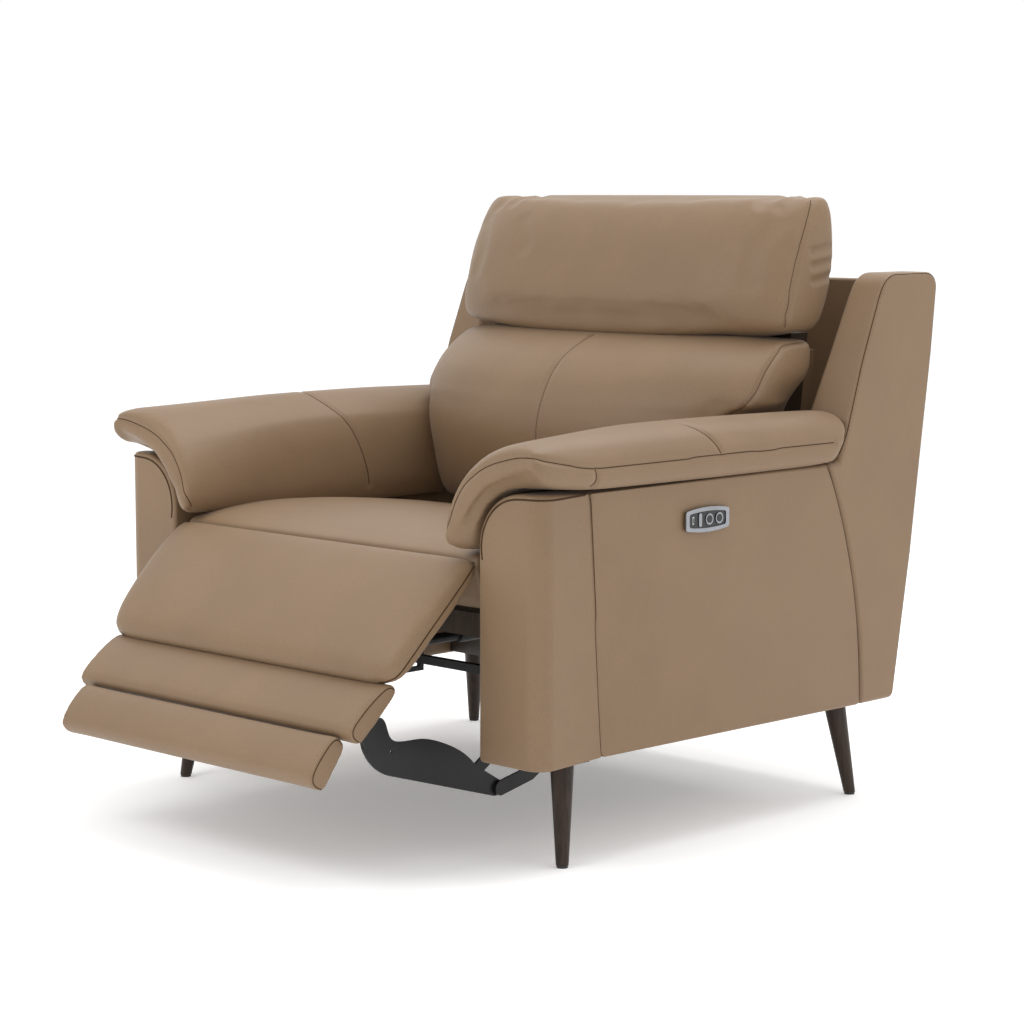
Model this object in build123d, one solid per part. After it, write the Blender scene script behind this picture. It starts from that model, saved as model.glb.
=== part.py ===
from build123d import *
import math
import os

# A power recliner armchair with its leg rest part way out.  Millimetres, +Z up, +X is the sitter's
# left, -Y is the front.  The drawing origin is on the floor in the middle of the four feet; every
# part is moved by ORIGIN_SHIFT as it is written, so that the finished origin is the centre of the
# footprint, on the floor.

ORIGIN_SHIFT = 97.85

# ---- driving dimensions ---------------------------------------------------------------------
HALF_WIDTH = 500.0          # outer face of the arm boxes and wings
ARM_INNER = 369.0           # inner face of the arm boxes
ARM_TOP = 583.0             # top of the arm box, under the pad
ARM_SHOULDER = 86.0         # radius of its inner top shoulder
ARM_FRONT = -448.0
ARM_FRONT_CORNER = 32.0      # radius of the outer front corner
BODY_BOTTOM = 164.0         # underside of the body
WALL = 12.0                 # upholstered board of the hollow boxes
JOINT = 0.2                 # glue line between pieces of a timber frame
WING_INNER = 412.0
WING_TOP = 895.0

PAD_INNER = 354.0           # arm pad face beside the seat
PAD_OUTER = 517.0
PAD_CROWN = 669.0
PAD_BOTTOM = 462.0

FOOT_X = 462.0              # centre of each foot on the floor
FOOT_Y = 359.0
LEG_SPLAY = 0.13            # sideways and fore-and-aft lean for each mm of height
LEG_TOP_R = 19.0
LEG_FOOT_R = 10.0
GLIDE_H = 4.0
PLATE_H = 4.0

SEAT_HALF = 351.0
SEAT_FRONT = -432.0
SEAT_REAR = 190.0
SEAT_BOTTOM = 386.0
FRAME_TOP = 383.0
FRAME_BOTTOM = 345.0

RECLINE_AXIS = (225.0, 400.0)       # Y and Z of the back's hinge
BACK_LEAN = 0.131                   # backward lean of the back for each mm of height
HEADREST_AXIS = (200.0, 770.0)      # centre of the headrest's curved tracks
TRACK_RADIUS = 179.0

LEG_AXIS = (-430.0, 455.0)          # hinge of the leg panel under the seat's front edge
MID_AXIS = (-578.0, 290.0)          # hinge between the leg panel and the middle panel
TOE_AXIS = (-653.0, 206.0)          # hinge between the middle panel and the toe panel
LEG_SLOPE = 45.0                    # degrees below the horizontal, as drawn
MID_SLOPE = 39.5
TOE_SLOPE = 49.6
LEG_HALF = 352.0
MID_HALF = 332.0
TOE_HALF = 307.0

CRANK_AXIS = (-156.4, 339.0)        # crank pivot on the seat's side plate
ARM_TAIL = (-335.0, 96.0)           # pivot of the crank on the swing arm
ARM_NOSE = (-388.0, 122.0)          # second pivot on the swing arm
ARM_HEAD = (-612.0, 212.0)          # pivot of the swing arm on the middle panel
LINK_AXIS = (CRANK_AXIS[0] + ARM_NOSE[0] - ARM_TAIL[0], CRANK_AXIS[1] + ARM_NOSE[1] - ARM_TAIL[1])
CROSS_BAR = (-140.0, 231.0)
STEEL = 4.0                         # plate thickness of the links
ARM_PLANE = 296.0                   # inner face of each flat link, out from the middle
CRANK_PLANE = 302.0
LINK_PLANE = 290.0
SIDE_PLATE_PLANE = 308.0
PIN_R = 5.0
PIN_FIT = 0.08                      # running clearance on the radius
OPEN_PIVOT = 2.0                    # clearance where a closed linkage is opened

SWITCH = (-71.0, 518.0)             # centre of the control on the arm's outer face
SWITCH_LENGTH = 104.0
SWITCH_HEIGHT = 40.0


# ---- helpers ----------------------------------------------------------------------------------
def write(shape, node):
    export_step(Pos(0, ORIGIN_SHIFT, 0) * shape, f"parts/{node}.step")


def side_outline(points, rounding=0.0):
    """A face from (Y, Z) corners, all corners rounded alike."""
    face = make_face(Polyline(*points, close=True))
    if rounding:
        face = fillet(face.vertices(), rounding)
    return face


def across(face, x_from, x_to):
    """Extrude a (Y, Z) face sideways between two X positions."""
    return Plane.YZ.offset(x_from) * extrude(face, amount=x_to - x_from)


def along(face, y_from, y_to):
    """Extrude an (X, Z) face from a front Y back to a rear Y."""
    return Plane.XZ.offset(-y_to) * extrude(face, amount=y_to - y_from)


def block(x0, x1, y0, y1, z0, z1):
    return Pos((x0 + x1) / 2, (y0 + y1) / 2, (z0 + z1) / 2) * Box(x1 - x0, y1 - y0, z1 - z0)


def pin(centre, radius, x_from, x_to):
    """A round bar along X through a (Y, Z) point."""
    middle = ((x_from + x_to) / 2, centre[0], centre[1])
    return Pos(*middle) * Rot(0, 90, 0) * Cylinder(radius, x_to - x_from)


def other_side(shape):
    return mirror(shape, about=Plane.YZ)


def both_sides(shape):
    return Compound([shape, other_side(shape)])


def write_pair(shape, name):
    write(shape, f"right_{name}")
    write(other_side(shape), f"left_{name}")


def on_slope(origin, slope, points):
    """Turn (distance down the slope, height off it) pairs into (Y, Z) points."""
    angle = math.radians(slope)
    down = (-math.cos(angle), -math.sin(angle))
    out = (-math.sin(angle), math.cos(angle))
    return [(origin[0] + s * down[0] + n * out[0], origin[1] + s * down[1] + n * out[1])
            for s, n in points]


def strap(points, half_width):
    """A flat steel strap along a (Y, Z) route, with round ends and elbows."""
    body = None
    for start, end in zip(points, points[1:]):
        length = math.dist(start, end)
        middle = ((start[0] + end[0]) / 2, (start[1] + end[1]) / 2)
        turn = math.degrees(math.atan2(end[1] - start[1], end[0] - start[0]))
        run = Pos(*middle) * Rot(0, 0, turn) * SlotCenterToCenter(length, 2 * half_width)
        body = run if body is None else body + run
    return body


def hole(centre, radius):
    return Pos(*centre) * Circle(radius)


# ---- arm boxes, wings and outer back ----------------------------------------------------------
def seam_curve(spare=0.0):
    """Rear edge of the arm box, where the wing panel starts, run on past both ends."""
    seam = ThreePointArc((337, BODY_BOTTOM), (312, 385), (240, ARM_TOP))
    centre = seam.arc_center

    def on_seam(z):
        return (centre.X + math.sqrt(seam.radius ** 2 - (z - centre.Y) ** 2), z)
    return ThreePointArc(on_seam(BODY_BOTTOM - spare), on_seam(385), on_seam(ARM_TOP + spare))


def arm_outline(spare=4.0):
    """Side view of the arm box, with spare height that the front view trims."""
    seam = seam_curve(spare)
    edge = Polyline(seam @ 1, (ARM_FRONT, ARM_TOP + spare), (ARM_FRONT, BODY_BOTTOM - spare), seam @ 0)
    return make_face([seam] + list(edge.edges()))


def arm_section(inset):
    """Front view of the arm box, with the shoulder that the pad wraps."""
    x0 = ARM_INNER + inset
    x1 = HALF_WIDTH - inset
    section = make_face(Polyline((x0, BODY_BOTTOM + inset), (x1, BODY_BOTTOM + inset),
                                 (x1, ARM_TOP - inset), (x0, ARM_TOP - inset), close=True))
    shoulder = section.vertices().sort_by(Axis.X)[:2].sort_by(Axis.Y)[-1]
    return fillet(shoulder, ARM_SHOULDER - inset)


def arm_plan():
    """Plan of the arm box, with its rounded outer front corner."""
    plan = make_face(Polyline((ARM_INNER, ARM_FRONT), (HALF_WIDTH, ARM_FRONT),
                              (HALF_WIDTH, 400), (ARM_INNER, 400), close=True))
    corner = plan.vertices().sort_by(Axis.Y)[:2].sort_by(Axis.X)[-1]
    return fillet(corner, ARM_FRONT_CORNER)


def make_arm_box():
    """The arm box is what its side view, front view and plan have in common, and it is hollow."""
    side = across(arm_outline(), ARM_INNER - 1, HALF_WIDTH + 1)
    upright = Pos(0, 0, BODY_BOTTOM - 1) * extrude(arm_plan(), amount=ARM_TOP - BODY_BOTTOM + 2)
    outer = side & along(arm_section(0), ARM_FRONT - 1, 400) & upright
    return outer - along(arm_section(WALL), ARM_FRONT + WALL, 218)


def make_arm_frame():
    """Hardwood frame inside the hollow arm box: two posts and two rails."""
    clear = WALL + 1
    x0 = ARM_INNER + clear
    x1 = HALF_WIDTH - clear
    front = ARM_FRONT + 45
    bottom = BODY_BOTTOM + clear
    pieces = [block(x0, x1, front, front + 40, bottom, 460),
              block(x0, x1, 177, 217, bottom, 460),
              block(x0 + 30, x1, front + 40 + JOINT, 177 - JOINT, bottom, BODY_BOTTOM + 60),
              block(x0 + 30, x1, front + 40 + JOINT, 177 - JOINT, 425, 460)]
    return Compound(pieces)


WING_REAR = [(430, BODY_BOTTOM), (444, 245), (475, 415), (501, 587), (525, 758), (540, WING_TOP)]


def make_wing():
    seam = seam_curve()
    front = [(240, ARM_TOP), (269, ARM_TOP), (290, 634), (328, 749), (372, 856), (392, WING_TOP)]
    points = front + list(reversed(WING_REAR)) + [(337, BODY_BOTTOM)]
    rim = Polyline(*points)
    outline = make_face([seam] + list(rim.edges()))
    front_top = [v for v in outline.vertices().sort_by(Axis.X) if v.Y > WING_TOP - 1][0]
    outline = fillet(front_top, 42)
    rear_top = [v for v in outline.vertices().sort_by(Axis.X) if v.Y > WING_TOP - 1][-1]
    outline = fillet(rear_top, 26)
    inner = offset(outline, amount=-WALL)
    shell = across(outline, WING_INNER, HALF_WIDTH)
    taper = make_face(Polyline((WING_INNER - 12, 620), (WING_INNER, 620), (434, WING_TOP + 1),
                               (WING_INNER - 12, WING_TOP + 1), close=True))
    shell -= along(taper, 200, 560)
    return shell - across(inner, WING_INNER + 36, HALF_WIDTH - WALL)


def make_outer_back():
    thick = 20
    rear = WING_REAR[:-1] + [(538, 880)]
    front = [(y - thick, z) for y, z in reversed(rear)]
    panel = across(side_outline(rear + front), 0, WING_INNER - 1)
    return panel + other_side(panel)


# ---- arm pads -----------------------------------------------------------------------------------
def make_arm_pad():
    """A long bolster over the arm: flat band outside, high crown, thin skirt down to the seat,
    and a fuller roll at the front that leans in over the seat."""
    gap = 1.0
    under = [(PAD_OUTER - 6, ARM_TOP + gap), (ARM_INNER + ARM_SHOULDER, ARM_TOP + gap)]
    shoulder = RadiusArc(under[1], (ARM_INNER - gap, ARM_TOP - ARM_SHOULDER), -(ARM_SHOULDER + gap))
    skirt = Polyline((ARM_INNER - gap, ARM_TOP - ARM_SHOULDER), (ARM_INNER - gap, PAD_BOTTOM),
                     (PAD_INNER, PAD_BOTTOM), (PAD_INNER, 545))
    crown = Spline((PAD_INNER, 545), (372, 630), (430, PAD_CROWN), (490, 648), (PAD_OUTER, 612),
                   tangents=((0, 1), (0.15, -1)))
    band = Line((PAD_OUTER, 612), under[0])
    section = make_face([Line(*under), shoulder] + list(skirt.edges()) + [crown, band])
    outline = side_outline([(-452, PAD_BOTTOM - 5), (-460, 500), (-470, 560), (-472, 634),
                            (-455, 654), (-400, 668), (-340, 676), (290, 676), (298, 664),
                            (268, ARM_TOP + 1), (237, ARM_TOP + 1), (237, PAD_BOTTOM - 5)])
    bolster = along(section, -480, 305) & across(outline, PAD_INNER - 2, PAD_OUTER + 3)
    roll = Spline((PAD_INNER + 2, 502), (329, 512), (324, 540), (338, 580), (PAD_INNER + 8, 605))
    back = Line((PAD_INNER + 8, 605), (PAD_INNER + 2, 502))
    return bolster + along(make_face([roll, back]), -458, -330)


# ---- legs ---------------------------------------------------------------------------------------
def make_leg():
    """Tapered round leg that splays outward and forward; drawn for the front right corner."""
    foot = Plane((FOOT_X, -FOOT_Y, GLIDE_H))
    height = BODY_BOTTOM - PLATE_H - GLIDE_H
    top = Plane((FOOT_X - LEG_SPLAY * height, -FOOT_Y + LEG_SPLAY * height, GLIDE_H + height))
    return loft([foot * Circle(LEG_FOOT_R), top * Circle(LEG_TOP_R)])


def leg_top():
    height = BODY_BOTTOM - GLIDE_H
    return FOOT_X - LEG_SPLAY * height, FOOT_Y - LEG_SPLAY * height


def four_corners(shape):
    """Copies of a front right piece at all four corners."""
    rear = mirror(shape, about=Plane.XZ)
    return [shape, other_side(shape), rear, other_side(rear)]


def make_legs():
    leg = make_leg()
    names = ["front_right_leg", "front_left_leg", "rear_right_leg", "rear_left_leg"]
    for name, shape in zip(names, four_corners(leg)):
        write(shape, name)
    x, y = leg_top()
    plate = block(x - 32, x + 32, -y - 32, -y + 32, BODY_BOTTOM - PLATE_H, BODY_BOTTOM)
    plate = fillet(plate.edges().filter_by(Axis.Z), 6)
    write(Compound(four_corners(plate)), "leg_plates")
    glide = Pos(FOOT_X, -FOOT_Y, GLIDE_H / 2) * Cylinder(LEG_FOOT_R - 1, GLIDE_H)
    write(Compound(four_corners(glide)), "floor_glides")


# ---- fixed steel and timber under the body ------------------------------------------------------
def make_cross_rails():
    """Two timber rails that tie the arm boxes together."""
    x = ARM_INNER
    middle = block(-x, x, 205, 240, BODY_BOTTOM + 4, 208)
    rear = block(-WING_INNER, WING_INNER, 372, 402, BODY_BOTTOM + 4, 228)
    return Compound([middle, rear])


RAIL_Z = 318.0


def make_slide_rails():
    """Channel on the inside of each arm box, open towards the seat."""
    channel = block(357, ARM_INNER, -330, 235, RAIL_Z - 17, RAIL_Z + 17)
    channel -= block(350, ARM_INNER - 3, -331, 236, RAIL_Z - 8, RAIL_Z + 8)
    return both_sides(channel)


RECLINE_MOTOR_X = 60.0
RECLINE_MOTOR_Z = 250.0
FOOTREST_MOTOR_X = -110.0
FOOTREST_MOTOR_Z = 256.0


def bar_y(x, z, radius, y_from, y_to):
    """A round bar along Y."""
    return Pos(x, (y_from + y_to) / 2, z) * Rot(90, 0, 0) * Cylinder(radius, y_to - y_from)


def make_motor(x, z, y_front):
    """Gear case with its motor can beside it; the case starts at y_front."""
    case = block(x - 26, x + 26, y_front, y_front + 46, z - 26, z + 26)
    case = fillet(case.edges().filter_by(Axis.Y), 8)
    can = bar_y(x + 44, z, 19, y_front - 60, y_front + 40)
    return case + can


def make_recline_drive():
    x = RECLINE_MOTOR_X
    z = RECLINE_MOTOR_Z
    foot = block(x - 24, x + 24, 206, 238, 208, z - 26)
    write(make_motor(x, z, 200) + foot, "recline_motor")
    tube = bar_y(x, z, 14, -10, 199.5) - bar_y(x, z, 10.2, -11, 192)
    write(tube, "recline_tube")
    rod = bar_y(x, z, 10, -36, 188)
    write(rod, "recline_rod")
    bracket = block(x - 20, x + 20, -42, -36.2, z - 18, FRAME_TOP)
    write(bracket, "recline_bracket")


# ---- control on the outer face -----------------------------------------------------------------
def barrel(length, height, bulge):
    """A rounded rectangle whose long edges bow outward, in (Y, Z)."""
    y0, y1 = -length / 2, length / 2
    h = height / 2 - bulge
    top = ThreePointArc((y0, h), (0, h + bulge), (y1, h))
    bottom = ThreePointArc((y1, -h), (0, -h - bulge), (y0, -h))
    face = make_face([top, Line((y1, h), (y1, -h)), bottom, Line((y0, -h), (y0, h))])
    return Pos(*SWITCH) * fillet(face.vertices(), 4)


BUTTONS = {"home_button": -18.0, "recline_button": 4.0, "return_button": 28.0}
BUTTON_R = 9.0
BUTTON_TRAVEL = 1.5


def button_face(offset_y, clearance):
    if offset_y < -10:
        shape = SlotOverall(22 + 2 * clearance, 7 + 2 * clearance, rotation=90)
    else:
        shape = Circle(BUTTON_R + clearance)
    return Pos(SWITCH[0] + offset_y, SWITCH[1]) * shape


def make_control():
    x = HALF_WIDTH
    bezel = across(barrel(SWITCH_LENGTH, SWITCH_HEIGHT, 5) - barrel(88, 27, 3), x + 0.2, x + 4)
    write(bezel, "switch_bezel")
    plate_face = barrel(87, 26, 3)
    for offset_y in BUTTONS.values():
        plate_face -= button_face(offset_y, 0.4)
    slot = Pos(SWITCH[0] - 33, SWITCH[1]) * RectangleRounded(5.4, 13, 1)
    plate_face -= slot
    write(across(plate_face, x + 0.2, x + 2.6), "switch_plate")
    socket = Pos(SWITCH[0] - 33, SWITCH[1]) * (RectangleRounded(5.0, 12.6, 1) - Rectangle(2, 8))
    write(across(socket, x + 0.2, x + 2.0), "charging_socket")
    for name, offset_y in BUTTONS.items():
        write(across(button_face(offset_y, 0), x + BUTTON_TRAVEL + 0.3, x + 4.2), name)


# ---- seat carriage ------------------------------------------------------------------------------
def make_seat_frame():
    """Timber frame with a front, middle and rear rail."""
    side = block(312.2, SEAT_HALF + 0.2, -395, 215, FRAME_BOTTOM, FRAME_TOP)
    rails = [block(-312.2 + JOINT, 312.2 - JOINT, y0, y1, FRAME_BOTTOM, FRAME_TOP)
             for y0, y1 in ((-395, -360), (-36, -6), (185, 215))]
    return Compound([side, other_side(side)] + rails)


def make_runners():
    """Steel bars under the seat frame that slide in the channels."""
    bar = block(350, 364, -320, 80, RAIL_Z - 7, RAIL_Z + 7)
    hanger = block(344, 350, -320, 80, RAIL_Z - 7, FRAME_BOTTOM)
    return both_sides(bar + hanger)


def make_webbing():
    """Elastic straps across the seat frame."""
    straps = [block(-SEAT_HALF + 4, SEAT_HALF - 4, y - 25, y + 25, FRAME_TOP, FRAME_TOP + 2)
              for y in (-300, -220, -140, -60, 40, 120)]
    return Compound(straps)


def make_seat_cushion():
    outline = side_outline([(SEAT_FRONT + 14, SEAT_BOTTOM), (SEAT_FRONT + 12, 440),
                            (SEAT_FRONT, 452), (SEAT_FRONT, 470), (-420, 480), (-300, 494),
                            (-180, 493), (60, 470), (SEAT_REAR, 448), (SEAT_REAR, SEAT_BOTTOM)])
    cushion = across(outline, -SEAT_HALF, SEAT_HALF)
    rim = [e for e in cushion.edges() if abs(abs(e.center().X) - SEAT_HALF) < 0.5
           and e.center().Z > 455]
    return chamfer(rim, 6)


def make_side_plate():
    """Steel side plate on the seat frame that carries both link pivots, with its two pins."""
    outline = side_outline([(-235, FRAME_TOP), (-130, FRAME_TOP), (-130, 350), (-140, 325),
                            (-172, 325), (-180, FRAME_BOTTOM), (-235, FRAME_BOTTOM + 15)], 4)
    plate = across(outline, SIDE_PLATE_PLANE, SIDE_PLATE_PLANE + STEEL)
    plate += pin(CRANK_AXIS, PIN_R, CRANK_PLANE - 3, SIDE_PLATE_PLANE)
    plate += pin(LINK_AXIS, PIN_R, LINK_PLANE - 3, SIDE_PLATE_PLANE)
    return plate


def make_footrest_drive():
    x = FOOTREST_MOTOR_X
    z = FOOTREST_MOTOR_Z
    hanger = block(x - 22, x + 22, 188, 194, z + 26, FRAME_BOTTOM)
    write(make_motor(x, z, 150) + hanger, "footrest_motor")
    tube = bar_y(x, z, 13, -28, 149.5) - bar_y(x, z, 9.2, -29, 149.5)
    write(tube, "footrest_tube")
    yoke = block(x - 4, x + 4, CROSS_BAR[0] - 27, CROSS_BAR[0] + 27, 205, 308)
    yoke -= block(x - 5, x + 5, CROSS_BAR[0] - 18, CROSS_BAR[0] + 18, 213, 300)
    rod = bar_y(x, z, 9, CROSS_BAR[0] + 26, 60)
    write(yoke + rod, "footrest_rod")


# ---- leg rest linkage --------------------------------------------------------------------------
def make_crank():
    """Bent crank: short upright from its pivot, then down and forward to the swing arm."""
    route = [CRANK_AXIS, (-146, 236), (-205, 146), (-268, 110), ARM_TAIL]
    face = strap(route, 12) - hole(CRANK_AXIS, PIN_R + PIN_FIT)
    plate = across(face, CRANK_PLANE, CRANK_PLANE + STEEL)
    return plate + pin(ARM_TAIL, PIN_R, ARM_PLANE - 3, CRANK_PLANE)


def make_front_link():
    """Second bent link, parallel to the crank."""
    route = [LINK_AXIS, (-222, 270), (-286, 182), (-348, 148), ARM_NOSE]
    face = strap(route, 11) - hole(LINK_AXIS, PIN_R + PIN_FIT) - hole(ARM_NOSE, PIN_R + OPEN_PIVOT)
    return across(face, LINK_PLANE, LINK_PLANE + STEEL)


def make_swing_arm():
    """Curved flat arm: deep head behind the middle panel, hump, nose and a straight tail."""
    upper = Spline((-600, 244), (-578, 236), (-566, 209), (-542, 200), (-500, 198), (-452, 184),
                   (-405, 158), (-386, 140))
    lower = Polyline((-386, 140), (-326, 104), (-331, 84), (-346, 84), (-563, 149))
    head = Spline((-563, 149), (-590, 161), (-614, 184), (-626, 214), (-600, 244))
    plate = make_face([upper] + list(lower.edges()) + [head])
    plate -= hole(ARM_TAIL, PIN_R + PIN_FIT)
    plate -= hole(ARM_HEAD, PIN_R + OPEN_PIVOT)
    plate -= hole((-565, 188), 2.5)
    return across(plate, ARM_PLANE, ARM_PLANE + STEEL) + pin(ARM_NOSE, PIN_R, LINK_PLANE - 3, ARM_PLANE)


# ---- leg rest panels ---------------------------------------------------------------------------
def make_panel(origin, slope, board, cushion, half_width, rounding):
    wood = across(side_outline(on_slope(origin, slope, board)), -half_width + 8, half_width - 8)
    soft = across(side_outline(on_slope(origin, slope, cushion), rounding), -half_width, half_width)
    return wood, soft


def make_leg_rest():
    wood, soft = make_panel(LEG_AXIS, LEG_SLOPE,
                            [(8, -2), (212, -2), (212, 7), (8, 7)],
                            [(6, 7.2), (224, 7.2), (231, 18), (222, 28), (110, 35), (12, 26)],
                            LEG_HALF, 3)
    write(wood, "leg_panel_board")
    write(soft, "leg_panel_cushion")
    mid_origin = (-583.0, 286.0)
    wood, soft = make_panel(mid_origin, MID_SLOPE,
                            [(4, -1), (92, -1), (92, 6), (4, 6)],
                            [(4, 6.2), (96, 6.2), (101, 16), (92, 25), (20, 20), (0, 13)],
                            MID_HALF, 2.5)
    write(wood, "middle_panel_board")
    write(soft, "middle_panel_cushion")
    toe_origin = (-666.0, 212.0)
    wood, soft = make_panel(toe_origin, TOE_SLOPE,
                            [(8, 0), (70, 0), (70, 7), (8, 7)],
                            [(8, 7.2), (72, 7.2), (79, 18), (72, 28), (20, 24), (9, 16)],
                            TOE_HALF, 2.5)
    write(wood, "toe_panel_board")
    write(soft, "toe_panel_cushion")


def make_middle_lugs():
    """Steel lugs on the back of the middle panel, each with the swing arm's head pin."""
    lug = side_outline([(-640, 234), (-608, 262), (-598, 210), (-604, 198), (-622, 200)], 3)
    plate = across(lug, CRANK_PLANE, CRANK_PLANE + STEEL)
    return both_sides(plate + pin(ARM_HEAD, PIN_R, ARM_PLANE - 3, CRANK_PLANE))


# ---- back and headrest -------------------------------------------------------------------------
def back_line(z, behind=0.0):
    """Y of the back of the lumbar cushion at a height, or a distance behind it."""
    return 317 + (z - 650) * BACK_LEAN + behind


BACK_BOTTOM = 440.0
BACK_TOP = 790.0


def back_slab(z0, z1, near, far):
    return side_outline([(back_line(z0, near), z0), (back_line(z1, near), z1),
                         (back_line(z1, far), z1), (back_line(z0, far), z0)])


def make_back_frame():
    """Timber frame: two posts and three rails, with the hinge ears at its foot."""
    post = across(back_slab(BACK_BOTTOM, BACK_TOP, 1, 46), 300, 340)
    rails = [across(back_slab(z, z + 40, 1, 24), -300 + JOINT, 300 - JOINT) for z in (450, 610, 745)]
    frame = [post, other_side(post)] + rails
    ear = side_outline([(212, 386), (240, 386), (334, 430), (334, 474), (297, 474), (297, 446),
                        (212, 414)], 5)
    ears = across(ear, 340.2, 345.2) - pin(RECLINE_AXIS, PIN_R + PIN_FIT, 338, 348)
    return frame, both_sides(ears)


def make_hinge_brackets():
    """Steel brackets on the seat frame with the pins that the back turns on."""
    plate = side_outline([(150, FRAME_BOTTOM + 5), (236, FRAME_BOTTOM + 5), (240, 408),
                          (212, 412), (150, FRAME_TOP)], 4)
    bracket = across(plate, SEAT_HALF + 0.4, SEAT_HALF + 3.8)
    bracket += pin(RECLINE_AXIS, PIN_R, 336, SEAT_HALF + 0.4)
    return both_sides(bracket)


def crowned(outline, half_width, front_middle, front_side):
    """A cushion from its side view at the middle, with a front that curves back to each side."""
    rear = 430
    front = ThreePointArc((-half_width, front_side), (0, front_middle), (half_width, front_side))
    sides = Polyline((half_width, front_side), (half_width, rear), (-half_width, rear),
                     (-half_width, front_side))
    plan = make_face([front] + list(sides.edges()))
    return across(outline, -half_width - 1, half_width + 1) & Pos(0, 0, 400) * extrude(plan, amount=700)


def make_lumbar():
    """Lower back cushion: narrow between the arm pads, wide above them."""
    low = side_outline([(150, 464), (286, 464), (back_line(690), 690), (80, 690), (60, 620),
                        (66, 560), (100, 500)], 12)
    high = side_outline([(82, 684), (250, 684), (back_line(712), 712), (back_line(778), 778),
                         (262, 778), (186, 765), (122, 730)], 12)
    return crowned(low, 344, 64, 150) + crowned(high, 387, 80, 180)


def make_headrest():
    outline = side_outline([(212, 786), (356, 792), (388, 880), (388, 1000), (372, 1026),
                            (334, 1026), (296, 1002), (258, 940), (220, 850)], 10)
    board = side_outline([(348, 806), (360, 806), (378, 960), (366, 960)])
    cushion = crowned(outline, 388, 214, 286)
    slot = across(offset(board, amount=0.4), -301, 301)
    return cushion - slot, across(board, -300, 300)


def track_sector(start, end, inner, outer):
    """Piece of a ring about the headrest's axis, between two angles, in (Y, Z)."""
    def at(radius, angle):
        turn = math.radians(angle)
        return (HEADREST_AXIS[0] + radius * math.cos(turn), HEADREST_AXIS[1] + radius * math.sin(turn))
    half = (start + end) / 2
    edges = [ThreePointArc(at(outer, start), at(outer, half), at(outer, end)),
             Line(at(outer, end), at(inner, end)),
             ThreePointArc(at(inner, end), at(inner, half), at(inner, start)),
             Line(at(inner, start), at(outer, start))]
    return make_face(edges)


def make_headrest_tracks():
    """Curved steel bars fixed in the headrest and the guides that they slide through."""
    bar = across(track_sector(-32, 12, TRACK_RADIUS - 3, TRACK_RADIUS + 3), 140, 164)
    guide = across(track_sector(-18, -4, TRACK_RADIUS - 9, TRACK_RADIUS + 9), 132, 172)
    guide -= across(track_sector(-19, -3, TRACK_RADIUS - 3.5, TRACK_RADIUS + 3.5), 139.5, 164.5)
    return both_sides(bar), both_sides(guide)


def make_back():
    frame, ears = make_back_frame()
    lumbar = make_lumbar()
    cushion, board = make_headrest()
    bars, guides = make_headrest_tracks()
    write(Compound([piece - guides for piece in frame]), "back_frame")
    write(ears, "back_hinge_ears")
    write(lumbar, "lumbar_cushion")
    write(cushion - bars, "headrest_cushion")
    write(board - bars, "headrest_board")
    write(bars, "headrest_tracks")
    write(guides, "track_guides")
    cover = across(back_slab(BACK_BOTTOM, 760, 66, 70), -340, 340)
    sides = across(back_slab(BACK_BOTTOM, 760, 46.2, 66), 300, 340)
    write(cover + sides + other_side(sides), "back_cover")


# ---- write everything --------------------------------------------------------------------------
os.makedirs("parts", exist_ok=True)

write_pair(make_arm_box(), "arm_box")
write_pair(make_arm_frame(), "arm_frame")
write_pair(make_wing(), "wing")
write_pair(make_arm_pad(), "arm_pad")
write(make_outer_back(), "outer_back")
make_legs()
write(make_cross_rails(), "cross_rails")
write(make_slide_rails(), "slide_rails")
make_recline_drive()
make_control()

write(make_seat_frame(), "seat_frame")
write(make_runners(), "slide_runners")
write(make_webbing(), "seat_webbing")
write(make_seat_cushion(), "seat_cushion")
write_pair(make_side_plate(), "side_plate")
write(make_hinge_brackets(), "hinge_brackets")
make_footrest_drive()

write_pair(make_crank(), "crank")
bar_half = CRANK_PLANE
write(block(-bar_half, bar_half, CROSS_BAR[0] - 7, CROSS_BAR[0] + 7, CROSS_BAR[1] - 7,
            CROSS_BAR[1] + 7), "cross_bar")
write_pair(make_front_link(), "front_link")
write_pair(make_swing_arm(), "swing_arm")
make_leg_rest()
write(make_middle_lugs(), "middle_panel_lugs")
make_back()
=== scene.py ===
import math
import bmesh
import bpy
import numpy as np
from mathutils import Matrix, Vector
from mathutils.bvhtree import BVHTree
from mathutils.kdtree import KDTree


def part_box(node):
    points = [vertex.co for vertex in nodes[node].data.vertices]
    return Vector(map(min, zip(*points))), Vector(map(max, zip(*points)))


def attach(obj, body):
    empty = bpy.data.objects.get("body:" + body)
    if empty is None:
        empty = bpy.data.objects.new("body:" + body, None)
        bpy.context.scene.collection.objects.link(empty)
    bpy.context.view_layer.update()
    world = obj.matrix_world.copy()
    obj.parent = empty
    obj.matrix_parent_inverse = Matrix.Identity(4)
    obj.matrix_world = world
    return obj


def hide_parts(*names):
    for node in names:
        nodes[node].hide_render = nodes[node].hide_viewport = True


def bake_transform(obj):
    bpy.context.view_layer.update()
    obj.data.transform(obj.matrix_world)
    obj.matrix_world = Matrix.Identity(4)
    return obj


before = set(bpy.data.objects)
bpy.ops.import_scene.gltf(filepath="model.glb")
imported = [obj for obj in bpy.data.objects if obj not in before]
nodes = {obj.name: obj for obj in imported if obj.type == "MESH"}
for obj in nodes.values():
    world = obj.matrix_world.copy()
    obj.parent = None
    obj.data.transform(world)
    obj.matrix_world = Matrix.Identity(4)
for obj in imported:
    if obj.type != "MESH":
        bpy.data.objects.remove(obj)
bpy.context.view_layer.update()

scene = bpy.context.scene


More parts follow.
